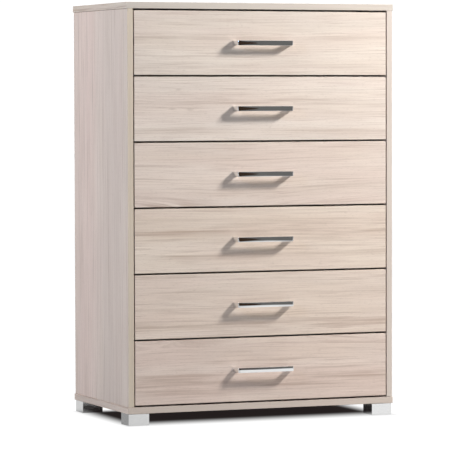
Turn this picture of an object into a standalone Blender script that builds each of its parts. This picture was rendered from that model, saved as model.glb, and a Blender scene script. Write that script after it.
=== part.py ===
"""Tall chest of six drawers: board carcass on four metal block feet, drawers on grooved sides, bow handles.

Metres, +Z up, the drawer fronts face -Y, origin on the floor under the middle of the object's bounding box.
"""

import bmesh
import bpy
from mathutils import Matrix, Vector

# Overall sizes
WIDTH = 0.770
DEPTH = 0.430
FOOT_HEIGHT = 0.032
INNER_HEIGHT = 1.052
BOARD = 0.016
PANEL_THICK = 0.017
TOUCH = 0.0003

# Handle
HANDLE_REACH = 0.028
HANDLE_HEIGHT = 0.013
HANDLE_HOLE_X = 0.080
HANDLE_ROOT_X = 0.0852
HANDLE_BAR_X = 0.0806
HANDLE_FACE_SAG = 0.0006
HANDLE_BAR_THICK = 0.0052

# Carcass
PANEL_OVERHANG = 0.002
BACK_THICK = 0.003
BACK_RECESS = 0.0007
FOOT_SIZE = 0.058
FOOT_INSET = 0.003
EDGE_RADIUS = 0.0006

# Drawers
DRAWERS = 6
SIDE_GAP = 0.003
FRONT_GAP = 0.0047
BOX_LENGTH = 0.385
BOX_BOARD = 0.012
BOX_HEIGHT = 0.130
BOX_RISE = 0.014
BOX_HALF_WIDTH = 0.3635
BOTTOM_THICK = 0.003
BOTTOM_RISE = 0.009
SLOT_DEPTH = 0.005
SLOT_PLAY = 0.0003

# Runners and the grooves that ride on them
RUNNER_LENGTH = 0.345
RUNNER_HEIGHT = 0.017
RUNNER_SETBACK = 0.024
RUNNER_REACH = 0.0052
RUNNER_RISE = 0.070
GROOVE_DEPTH = 0.0064
GROOVE_PLAY = 0.0005
GROOVE_STOP = 0.010
SCREW_STEPS = (0.040, 0.172, 0.305)

FRONT_Y = (HANDLE_REACH + TOUCH - DEPTH) / 2
REAR_Y = FRONT_Y + DEPTH
FLOOR_Z = FOOT_HEIGHT + PANEL_THICK
CEILING_Z = FLOOR_Z + INNER_HEIGHT
SIDE_OUT_X = WIDTH / 2 - PANEL_OVERHANG
SIDE_IN_X = SIDE_OUT_X - BOARD
FRONT_HALF = SIDE_IN_X - SIDE_GAP
FRONT_TALL = 0.1698
PITCH = FRONT_TALL + FRONT_GAP
END_GAP = (INNER_HEIGHT - DRAWERS * FRONT_TALL - (DRAWERS - 1) * FRONT_GAP) / 2


def clear_scene():
    for item in list(bpy.data.objects):
        bpy.data.objects.remove(item, do_unlink=True)


def material(name, colour, roughness, metallic):
    made = bpy.data.materials.new(name)
    made.use_nodes = True
    shader = made.node_tree.nodes["Principled BSDF"]
    shader.inputs["Base Color"].default_value = (*colour, 1.0)
    shader.inputs["Roughness"].default_value = roughness
    shader.inputs["Metallic"].default_value = metallic
    return made


def add_object(name, mesh, finish=None, parent=None):
    made = bpy.data.objects.new(name, mesh)
    bpy.context.scene.collection.objects.link(made)
    if finish is not None:
        mesh.materials.append(finish)
    if parent is not None:
        made.parent = parent
    return made


def mesh_from(name, shape):
    bmesh.ops.recalc_face_normals(shape, faces=shape.faces[:])
    mesh = bpy.data.meshes.new(name)
    shape.to_mesh(mesh)
    shape.free()
    return mesh


def block_mesh(name, low, high):
    """A rectangular block between two corners."""
    shape = bmesh.new()
    size = Vector(high) - Vector(low)
    middle = (Vector(high) + Vector(low)) / 2
    place = Matrix.Translation(middle) @ Matrix.Diagonal((*size, 1.0))
    bmesh.ops.create_cube(shape, size=1.0, matrix=place)
    return mesh_from(name, shape)


def extruded_mesh(name, outline, start, end, axis):
    """A closed outline swept straight between two values along X, Y or Z."""
    shape = bmesh.new()
    first, last = [], []
    for a, b in outline:
        near, far = [a, b], [a, b]
        near.insert(axis, start)
        far.insert(axis, end)
        first.append(shape.verts.new(near))
        last.append(shape.verts.new(far))
    count = len(outline)
    shape.faces.new(first)
    shape.faces.new(last)
    for i in range(count):
        j = (i + 1) % count
        shape.faces.new((first[i], first[j], last[j], last[i]))
    return mesh_from(name, shape)


def round_bar_mesh(name, middle, axis, length, radius, far_radius=None, sides=20):
    """A round bar or cone along X or Y, centred on a point."""
    shape = bmesh.new()
    turn = Matrix.Rotation(1.5707963267948966, 4, "Y" if axis == 0 else "X")
    bmesh.ops.create_cone(
        shape,
        cap_ends=True,
        segments=sides,
        radius1=radius,
        radius2=radius if far_radius is None else far_radius,
        depth=length,
        matrix=Matrix.Translation(Vector(middle)) @ turn,
    )
    return mesh_from(name, shape)


def bevel(item, width=EDGE_RADIUS, segments=1):
    modifier = item.modifiers.new("edge", "BEVEL")
    modifier.width = width
    modifier.segments = segments
    modifier.limit_method = "ANGLE"
    modifier.angle_limit = 0.6


def cut(item, cutter_mesh):
    """Takes a cutter's shape out of an object."""
    cutter = bpy.data.objects.new(cutter_mesh.name, cutter_mesh)
    bpy.context.scene.collection.objects.link(cutter)
    cutter.parent = item.parent
    cutter.hide_render = True
    cutter.display_type = "WIRE"
    modifier = item.modifiers.new("cut", "BOOLEAN")
    modifier.operation = "DIFFERENCE"
    modifier.solver = "EXACT"
    modifier.object = cutter


def build_carcass(wood, hardboard, foot_metal):
    half = WIDTH / 2
    panels = (
        ("top_panel", (-half, FRONT_Y, CEILING_Z), (half, REAR_Y, CEILING_Z + PANEL_THICK)),
        ("bottom_panel", (-half, FRONT_Y, FOOT_HEIGHT), (half, REAR_Y, FLOOR_Z)),
    )
    for name, low, high in panels:
        bevel(add_object(name, block_mesh(name, low, high), wood))
    side_rear = REAR_Y - BACK_RECESS - BACK_THICK - TOUCH
    for name, side in (("left_side", -1), ("right_side", 1)):
        faces = sorted((side * SIDE_OUT_X, side * SIDE_IN_X))
        low = (faces[0], FRONT_Y, FLOOR_Z + TOUCH)
        high = (faces[1], side_rear, CEILING_Z - TOUCH)
        bevel(add_object(name, block_mesh(name, low, high), wood))
    low = (-SIDE_OUT_X + 0.001, REAR_Y - BACK_RECESS - BACK_THICK, FLOOR_Z + TOUCH)
    high = (SIDE_OUT_X - 0.001, REAR_Y - BACK_RECESS, CEILING_Z - TOUCH)
    add_object("back_panel", block_mesh("back_panel", low, high), hardboard)

    out_x = half - FOOT_INSET
    for depth_name, front in (("front", True), ("rear", False)):
        for side_name, side in (("left", -1), ("right", 1)):
            xs = sorted((side * out_x, side * (out_x - FOOT_SIZE)))
            y = FRONT_Y + FOOT_INSET if front else REAR_Y - FOOT_INSET - FOOT_SIZE
            name = f"foot_{depth_name}_{side_name}"
            low = (xs[0], y, 0.0)
            high = (xs[1], y + FOOT_SIZE, FOOT_HEIGHT - TOUCH)
            bevel(add_object(name, block_mesh(name, low, high), foot_metal), 0.0008, 2)


def front_bottom(number):
    """Lower edge of a drawer front; drawer 1 is the top one."""
    return CEILING_Z - END_GAP - FRONT_TALL - (number - 1) * PITCH


def drawer_front_mesh():
    low = (-FRONT_HALF, 0.0, 0.0)
    high = (FRONT_HALF, BOARD, FRONT_TALL)
    return block_mesh("drawer_front", low, high)


def drawer_side_mesh(side):
    outer = side * BOX_HALF_WIDTH
    inner = side * (BOX_HALF_WIDTH - BOX_BOARD)
    low = (min(outer, inner), BOARD + TOUCH, BOX_RISE)
    high = (max(outer, inner), BOARD + BOX_LENGTH, BOX_RISE + BOX_HEIGHT)
    return block_mesh("drawer_side", low, high)


def side_slot_mesh(side):
    """The slot for the drawer bottom along the inner face of a drawer side."""
    slot_low = BOX_RISE + BOTTOM_RISE
    slot_high = slot_low + BOTTOM_THICK + 2 * SLOT_PLAY
    inner = side * (BOX_HALF_WIDTH - BOX_BOARD - 0.01)
    floor = side * (BOX_HALF_WIDTH - BOX_BOARD + SLOT_DEPTH)
    low = (min(inner, floor), BOARD - 0.01, slot_low)
    high = (max(inner, floor), BOARD + BOX_LENGTH + 0.01, slot_high)
    return block_mesh("side_slot_cutter", low, high)


def groove_mesh(side):
    """The runner groove: open at the rear, rounded where it stops behind the front."""
    half = RUNNER_HEIGHT / 2 + GROOVE_PLAY
    middle_z = BOX_RISE + RUNNER_RISE
    start = BOARD + GROOVE_STOP
    outline = [(BOARD + BOX_LENGTH + 0.01, middle_z - half)]
    outline += [(start + 0.004, middle_z - half), (start, middle_z - half + 0.004)]
    outline += [(start, middle_z + half - 0.004), (start + 0.004, middle_z + half)]
    outline += [(BOARD + BOX_LENGTH + 0.01, middle_z + half)]
    outer = side * (BOX_HALF_WIDTH + 0.002)
    floor = side * (BOX_HALF_WIDTH - GROOVE_DEPTH)
    return extruded_mesh("groove_cutter", outline, min(outer, floor), max(outer, floor), 0)


def handle_plan():
    """Right half of the handle seen from above: outer and inner outline, from the root to the middle of the bar."""
    outer = (
        (HANDLE_ROOT_X, 0.0),
        (HANDLE_ROOT_X - 0.0002, 0.004),
        (HANDLE_ROOT_X - 0.0012, 0.012),
        (HANDLE_BAR_X + 0.0012, 0.0205),
        (HANDLE_BAR_X + 0.0004, 0.0248),
        (HANDLE_BAR_X - 0.0002, 0.0264),
        (HANDLE_BAR_X - 0.0012, 0.0274),
        (HANDLE_BAR_X - 0.0028, HANDLE_REACH - 0.0001),
        (HANDLE_BAR_X - 0.0060, HANDLE_REACH),
    )
    inner_reach = HANDLE_REACH - HANDLE_BAR_THICK
    inner = (
        (HANDLE_ROOT_X - 0.0104, 0.0),
        (HANDLE_ROOT_X - 0.0104, 0.004),
        (HANDLE_ROOT_X - 0.0106, 0.0105),
        (HANDLE_BAR_X - 0.0068, 0.0165),
        (HANDLE_BAR_X - 0.0074, 0.0190),
        (HANDLE_BAR_X - 0.0083, 0.0209),
        (HANDLE_BAR_X - 0.0098, 0.0221),
        (HANDLE_BAR_X - 0.0118, inner_reach - 0.0001),
        (HANDLE_BAR_X - 0.0150, inner_reach),
    )
    return outer, inner


def handle_mesh():
    """A bow handle lofted root to root: flat inner face, gently rounded outer face."""
    outer, inner = handle_plan()
    left = [((-a[0], a[1]), (-b[0], b[1])) for a, b in zip(outer, inner)]
    right = [(a, b) for a, b in zip(outer, inner)][::-1]
    stations = left + right
    steps = (-1.0, -0.96, -0.7, -0.35, 0.0, 0.35, 0.7, 0.96, 1.0)
    half = HANDLE_HEIGHT / 2
    shape = bmesh.new()
    rings = []
    for (ox, oy), (ix, iy) in stations:
        out = Vector((ox - ix, oy - iy))
        out.normalize()
        rise = min(1.0, oy / 0.012)
        ring = []
        for step in steps:
            fall = HANDLE_FACE_SAG * step * step * rise
            if abs(step) == 1.0:
                fall += 0.0005 * rise
            x = ox - out.x * fall
            y = oy - out.y * fall
            ring.append(shape.verts.new((x, -y, step * half)))
        for step in (1.0, -1.0):
            ring.append(shape.verts.new((ix, -iy, step * half)))
        rings.append(ring)
    for here, there in zip(rings, rings[1:]):
        count = len(here)
        for i in range(count):
            j = (i + 1) % count
            shape.faces.new((here[i], here[j], there[j], there[i]))
    shape.faces.new(rings[0])
    shape.faces.new(rings[-1])
    return mesh_from("bow_handle", shape)


def runner_mesh(side):
    """A runner strip with chamfered lengthwise edges and a tapered nose."""
    half = RUNNER_HEIGHT / 2
    flat = side * (SIDE_IN_X - TOUCH)
    ridge = side * (BOX_HALF_WIDTH - RUNNER_REACH)
    chamfer = 0.0008
    nose = 0.006
    start = BOARD + RUNNER_SETBACK
    end = start + RUNNER_LENGTH
    shape = bmesh.new()
    rings = []
    for y, tall in ((start, half - 0.004), (start + nose, half), (end, half)):
        shoulder = ridge + side * chamfer
        profile = (
            (flat, -tall),
            (shoulder, -tall),
            (ridge, -tall + chamfer),
            (ridge, tall - chamfer),
            (shoulder, tall),
            (flat, tall),
        )
        rings.append([shape.verts.new((x, y, z)) for x, z in profile])
    for here, there in zip(rings, rings[1:]):
        for i in range(6):
            j = (i + 1) % 6
            shape.faces.new((here[i], here[j], there[j], there[i]))
    shape.faces.new(rings[0])
    shape.faces.new(rings[-1])
    return mesh_from("runner", shape)


def runner_hole_mesh(side, y):
    """Screw hole with a countersink on the ridge side."""
    shape = bmesh.new()
    rings = []
    ridge = BOX_HALF_WIDTH - RUNNER_REACH
    for x, radius in (
        (SIDE_IN_X + 0.002, 0.0021),
        (ridge + 0.0024, 0.0021),
        (ridge - 0.0006, 0.0051),
    ):
        ring = bmesh.ops.create_circle(shape, segments=16, radius=radius)["verts"]
        turn = Matrix.Translation((side * x, y, 0.0)) @ Matrix.Rotation(1.5707963267948966, 4, "Y")
        bmesh.ops.transform(shape, verts=ring, matrix=turn)
        rings.append(ring)
    for here, there in zip(rings, rings[1:]):
        for i in range(16):
            j = (i + 1) % 16
            shape.faces.new((here[i], here[j], there[j], there[i]))
    shape.faces.new(rings[0])
    shape.faces.new(rings[-1])
    return mesh_from("runner_hole_cutter", shape)


def build_drawer(number, shared):
    """Front, two sides, back, bottom and handle of one drawer under an empty at its front's lower edge."""
    wood, box_finish, hardboard, chrome = shared["finishes"]
    pull = bpy.data.objects.new(f"drawer_{number}_slide", None)
    bpy.context.scene.collection.objects.link(pull)
    pull.location = (0.0, FRONT_Y, front_bottom(number))
    prefix = f"drawer_{number}"

    front = add_object(f"{prefix}_front", shared["front"], None, pull)
    bevel(front)
    cut(front, shared["front_slot"])
    for hole in shared["front_holes"]:
        cut(front, hole)

    for name in ("left", "right"):
        board = add_object(f"{prefix}_side_{name}", shared[f"side_{name}"], None, pull)
        bevel(board, 0.0004)
        cut(board, shared[f"groove_{name}"])
        cut(board, shared[f"slot_{name}"])

    back = add_object(f"{prefix}_back", shared["back"], None, pull)
    bevel(back, 0.0004)
    cut(back, shared["back_slot"])
    add_object(f"{prefix}_bottom", shared["bottom"], None, pull)

    handle = add_object(f"{prefix}_handle", shared["handle"], None, pull)
    handle.location = (0.0, -TOUCH, FRONT_TALL / 2)
    for hole in shared["handle_holes"]:
        cut(handle, hole)


def build_runners(number, shared):
    """The two runner strips screwed to the carcass sides for one drawer."""
    base = bpy.data.objects.new(f"runners_{number}_place", None)
    bpy.context.scene.collection.objects.link(base)
    base.location = (0.0, FRONT_Y, front_bottom(number) + BOX_RISE + RUNNER_RISE)
    for name in ("left", "right"):
        strip = add_object(f"runner_{number}_{name}", shared[f"runner_{name}"], None, base)
        for hole in shared[f"runner_holes_{name}"]:
            cut(strip, hole)


def shared_meshes(wood, box_finish, hardboard, chrome, plastic):
    """Meshes and cutters used by every drawer."""
    shared = {"finishes": (wood, box_finish, hardboard, chrome)}
    inner = BOX_HALF_WIDTH - BOX_BOARD
    slot_low = BOX_RISE + BOTTOM_RISE
    slot_high = slot_low + BOTTOM_THICK + 2 * SLOT_PLAY
    rear = BOARD + BOX_LENGTH

    shared["front"] = drawer_front_mesh()
    low = (-inner - SLOT_DEPTH, BOARD - SLOT_DEPTH, slot_low)
    high = (inner + SLOT_DEPTH, BOARD + 0.01, slot_high)
    shared["front_slot"] = block_mesh("front_slot_cutter", low, high)
    shared["front_holes"] = []
    shared["handle_holes"] = []
    for x in (-HANDLE_HOLE_X, HANDLE_HOLE_X):
        middle = (x, BOARD / 2, FRONT_TALL / 2)
        hole = round_bar_mesh("front_hole_cutter", middle, 1, 0.03, 0.0025)
        shared["front_holes"].append(hole)
        middle = (x, -TOUCH, FRONT_TALL / 2)
        hole = round_bar_mesh("handle_hole_cutter", middle, 1, 0.022, 0.00165, sides=14)
        shared["handle_holes"].append(hole)

    low = (-inner + TOUCH, rear - BOX_BOARD, BOX_RISE)
    high = (inner - TOUCH, rear, BOX_RISE + BOX_HEIGHT)
    shared["back"] = block_mesh("drawer_back", low, high)
    low = (-inner - 0.01, rear - BOX_BOARD - 0.01, slot_low)
    high = (inner + 0.01, rear - BOX_BOARD + SLOT_DEPTH, slot_high)
    shared["back_slot"] = block_mesh("back_slot_cutter", low, high)
    low = (-inner - SLOT_DEPTH + SLOT_PLAY, BOARD - SLOT_DEPTH + SLOT_PLAY, slot_low + SLOT_PLAY)
    high_y = rear - BOX_BOARD + SLOT_DEPTH - SLOT_PLAY
    high = (inner + SLOT_DEPTH - SLOT_PLAY, high_y, slot_high - SLOT_PLAY)
    shared["bottom"] = block_mesh("drawer_bottom", low, high)

    shared["handle"] = handle_mesh()
    for face in shared["handle"].polygons:
        face.use_smooth = True
    for name, side in (("left", -1), ("right", 1)):
        shared[f"side_{name}"] = drawer_side_mesh(side)
        shared[f"groove_{name}"] = groove_mesh(side)
        shared[f"slot_{name}"] = side_slot_mesh(side)
        shared[f"runner_{name}"] = runner_mesh(side)
        start = BOARD + RUNNER_SETBACK
        holes = [runner_hole_mesh(side, start + step) for step in SCREW_STEPS]
        shared[f"runner_holes_{name}"] = holes

    finishes = (
        ("front", wood),
        ("side_left", box_finish),
        ("side_right", box_finish),
        ("back", box_finish),
        ("bottom", hardboard),
        ("handle", chrome),
        ("runner_left", plastic),
        ("runner_right", plastic),
    )
    for key, finish in finishes:
        shared[key].materials.append(finish)
    return shared


def main():
    clear_scene()
    wood = material("ash_board", (0.68, 0.60, 0.52), 0.5, 0.0)
    box_finish = material("drawer_board", (0.80, 0.78, 0.74), 0.5, 0.0)
    hardboard = material("hardboard", (0.62, 0.52, 0.42), 0.6, 0.0)
    foot_metal = material("foot_metal", (0.72, 0.72, 0.71), 0.35, 1.0)
    chrome = material("chrome", (0.80, 0.80, 0.80), 0.08, 1.0)
    plastic = material("runner_plastic", (0.85, 0.85, 0.84), 0.4, 0.0)
    build_carcass(wood, hardboard, foot_metal)
    shared = shared_meshes(wood, box_finish, hardboard, chrome, plastic)
    for number in range(1, DRAWERS + 1):
        build_drawer(number, shared)
        build_runners(number, shared)


main()
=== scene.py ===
import math
import random

import bmesh
import bpy
from mathutils import Matrix, Vector


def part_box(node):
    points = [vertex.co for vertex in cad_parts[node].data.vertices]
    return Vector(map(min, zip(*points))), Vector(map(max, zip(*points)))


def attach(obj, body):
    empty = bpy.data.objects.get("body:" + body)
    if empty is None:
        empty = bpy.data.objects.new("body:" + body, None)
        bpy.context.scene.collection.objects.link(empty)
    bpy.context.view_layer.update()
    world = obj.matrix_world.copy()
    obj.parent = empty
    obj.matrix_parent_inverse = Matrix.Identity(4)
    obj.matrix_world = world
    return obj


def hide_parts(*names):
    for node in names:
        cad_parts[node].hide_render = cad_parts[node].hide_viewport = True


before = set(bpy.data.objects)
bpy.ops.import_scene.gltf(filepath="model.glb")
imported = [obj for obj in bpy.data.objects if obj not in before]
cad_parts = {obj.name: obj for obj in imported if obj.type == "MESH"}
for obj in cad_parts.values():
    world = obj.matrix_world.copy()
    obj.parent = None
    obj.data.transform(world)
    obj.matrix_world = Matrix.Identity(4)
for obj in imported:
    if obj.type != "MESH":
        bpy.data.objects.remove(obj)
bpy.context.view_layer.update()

bl_info = {
    "name": "Tall Chest of Drawers",
    "version": (1, 0, 0),
    "blender": (4, 5, 0),
    "location": "3D View > Sidebar > Chest",
    "description": "Finishes, handles, feet, fixings and stage of a tall chest of drawers",
    "category": "Add Mesh",
}

DRAWERS = 6
FRONT_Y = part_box("drawer_1_front")[0][1]
REAR_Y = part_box("top_panel")[1][1]
HALF_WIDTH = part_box("bottom_panel")[1][0]

# Fixings, in metres: profiles are (distance along the axis, radius), a cross is the
# (reach, width, depth) of the recess for the screwdriver.
HEAD_SIDES = 16
BOLT_PROFILE = ((-0.006, 0.0018), (0.0, 0.0018), (0.0, 0.0052), (0.0007, 0.0052),
                (0.0007, 0.0040), (0.0016, 0.0040), (0.0024, 0.0035), (0.0028, 0.0028))
BOLT_CROSS = (0.0021, 0.0009, 0.0012)
BOLT_INSET = 0.0052
RUNNER_SCREW_PROFILE = ((-0.0052, 0.0016), (-0.0024, 0.0016), (0.0, 0.0037), (0.0002, 0.0034))
RUNNER_SCREW_CROSS = (0.0020, 0.0009, 0.0011)
RUNNER_SCREW_STEPS = (0.040, 0.172, 0.305)
RUNNER_SCREW_LIFT = 0.0008
CORNER_SCREW_PROFILE = ((-0.004, 0.0015), (-0.002, 0.0015), (0.0, 0.0036), (0.0003, 0.0033))
CORNER_SCREW_CROSS = (0.0019, 0.0008, 0.0010)
CORNER_SCREW_ABOVE_SIDE = 0.036
CORNER_SCREW_BELOW_TOP = 0.020
NAIL_PROFILE = ((-0.003, 0.0008), (0.0, 0.0008), (0.0, 0.0024), (0.0003, 0.0024),
                (0.0005, 0.0019))
NAIL_ROWS = 9
NAIL_INSET = 0.008
NAIL_END = 0.03
HEAD_LIFT = 0.0001
NAIL_LIFT = 0.00005
FIXING_CREASE = math.radians(35)

# Handles and feet, in metres: the swell of the bar's face grows over SWELL_REACH out from
# the front.
HANDLE_EDGE = 0.00025
SWELL_REACH = 0.012
FACE_STEPS = 14
EDGE_STEPS = 3
BEND_STEPS = 10
HANDLE_CREASE = math.radians(50)
FOOT_HOLLOW_INSET = 0.004
FOOT_HOLLOW_DEPTH = 0.0025

# The camera's place and turn in metres and radians; its depth counts from the fronts.
CAMERA_PLACE = (-3.14372, FRONT_Y - 7.54774, 0.868886)
CAMERA_YAW, CAMERA_PITCH, CAMERA_ROLL = 0.385693, 0.045273, -0.00223
SENSOR_WIDTH = 36.0

# What the polished metal mirrors of the room, as turns from the front in radians.
DARK_HALF_TURN = 1.05
DARK_SPLIT_TURN = math.radians(22.544)
DARK_BROWN = (0.045, 0.029, 0.020, 1.0)
DARK_GREY = (0.155, 0.154, 0.149, 1.0)
ROOM_WHITE = (0.8, 0.8, 0.8, 1.0)
ROOM_SHADE = (0.22, 0.22, 0.23, 1.0)
SEEN_WHITE = (1.06, 1.06, 1.06, 1.0)
BLACK = (0.0, 0.0, 0.0, 1.0)
# Painted shadow: the colour the floors' glow turns to under the chest.
PAINTED_SHADOW_UNDER_CHEST = (0.016, 0.012, 0.012, 1.0)
LAMP_TARGET = (0.0, -0.2, 0.75)
CARCASS_BOLD = 1.35


# ---------------------------------------------------------------- shader maths


class Value:
    """A socket that adds Math nodes when it is used in a Python expression."""

    def __init__(self, shade, socket):
        self.shade = shade
        self.socket = socket

    def _math(self, operation, first, second=None, clamp=False):
        inputs = {0: first} if second is None else {0: first, 1: second}
        settings = {"operation": operation, "use_clamp": clamp}
        return self.shade.node("ShaderNodeMath", settings, inputs)

    def __add__(self, other):
        return self._math("ADD", self, other)

    __radd__ = __add__

    def __sub__(self, other):
        return self._math("SUBTRACT", self, other)

    def __rsub__(self, other):
        return self._math("SUBTRACT", other, self)

    def __mul__(self, other):
        return self._math("MULTIPLY", self, other)

    __rmul__ = __mul__

    def __truediv__(self, other):
        return self._math("DIVIDE", self, other)

    def __rtruediv__(self, other):
        return self._math("DIVIDE", other, self)

    def __pow__(self, other):
        return self._math("POWER", self, other)

    def __gt__(self, other):
        return self._math("GREATER_THAN", self, other)

    def __lt__(self, other):
        return self._math("LESS_THAN", self, other)

    def __abs__(self):
        return self._math("ABSOLUTE", self)

    def root(self):
        return self._math("SQRT", self)

    def wave(self):
        return self._math("SINE", self)

    def clamped(self):
        return self._math("ADD", self, 0.0, clamp=True)

    def larger(self, other):
        return self._math("MAXIMUM", self, other)

    def smaller(self, other):
        return self._math("MINIMUM", self, other)

    def step(self, low, high):
        """0 below low, 1 above high, smooth between."""
        settings = {"interpolation_type": "SMOOTHSTEP"}
        inputs = {0: self, 1: low, 2: high, 3: 0.0, 4: 1.0}
        return self.shade.node("ShaderNodeMapRange", settings, inputs)


class Shade:
    """Builds one material's or world's node tree."""

    def __init__(self, owner):
        owner.use_nodes = True
        self.tree = owner.node_tree
        self.tree.nodes.clear()

    def node(self, kind, settings=None, inputs=None, out=0):
        made = self.tree.nodes.new(kind)
        for key, value in (settings or {}).items():
            if key == "stops":
                self._set_stops(made.color_ramp, value)
            else:
                setattr(made, key, value)
        for key, value in (inputs or {}).items():
            if isinstance(value, Value):
                self.tree.links.new(value.socket, made.inputs[key])
            else:
                made.inputs[key].default_value = value
        if not made.outputs:
            return None
        return Value(self, made.outputs[out])

    @staticmethod
    def _set_stops(ramp, stops):
        while len(ramp.elements) > 1:
            ramp.elements.remove(ramp.elements[-1])
        ramp.elements[0].position = stops[0][0]
        ramp.elements[0].color = (*stops[0][1], 1.0)
        for place, colour in stops[1:]:
            ramp.elements.new(place).color = (*colour, 1.0)

    def split(self, vector):
        """X, Y and Z of a vector."""
        made = self.tree.nodes.new("ShaderNodeSeparateXYZ")
        self.tree.links.new(vector.socket, made.inputs[0])
        return [Value(self, socket) for socket in made.outputs]

    def join(self, x, y, z):
        return self.node("ShaderNodeCombineXYZ", None, {0: x, 1: y, 2: z})

    def place(self):
        """Position on the piece, in metres."""
        return self.split(self.node("ShaderNodeTexCoord", None, None, out=3))

    def facing(self):
        """The surface's direction in the piece's own axes."""
        return self.split(self.node("ShaderNodeTexCoord", None, None, out=1))

    def noise(self, x, y, z, detail=2.0, roughness=0.5):
        inputs = {"Vector": self.join(x, y, z), "Scale": 1.0, "Detail": detail,
                  "Roughness": roughness}
        return self.node("ShaderNodeTexNoise", {"noise_dimensions": "3D"}, inputs)

    def mix(self, share, first, second):
        """Colour between first and second."""
        settings = {"data_type": "RGBA", "blend_type": "MIX"}
        return self.node("ShaderNodeMix", settings, {0: share, 6: first, 7: second}, out=2)

    def bump(self, height, distance, strength=1.0, under=None):
        inputs = {"Height": height, "Distance": distance, "Strength": strength}
        if under is not None:
            inputs["Normal"] = under
        return self.node("ShaderNodeBump", None, inputs)

    def finish(self, **inputs):
        """Principled surface to the output; keys use _ for a space."""
        named = {key.replace("_", " "): value for key, value in inputs.items()}
        shader = self.node("ShaderNodeBsdfPrincipled", None, named)
        self.node("ShaderNodeOutputMaterial", None, {"Surface": shader})


def colour4(colour):
    return (*tuple(colour)[:3], 1.0)


def tinted(colour, factor):
    return (*(min(1.0, part * factor) for part in tuple(colour)[:3]), 1.0)


# ---------------------------------------------------------------- materials


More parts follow.
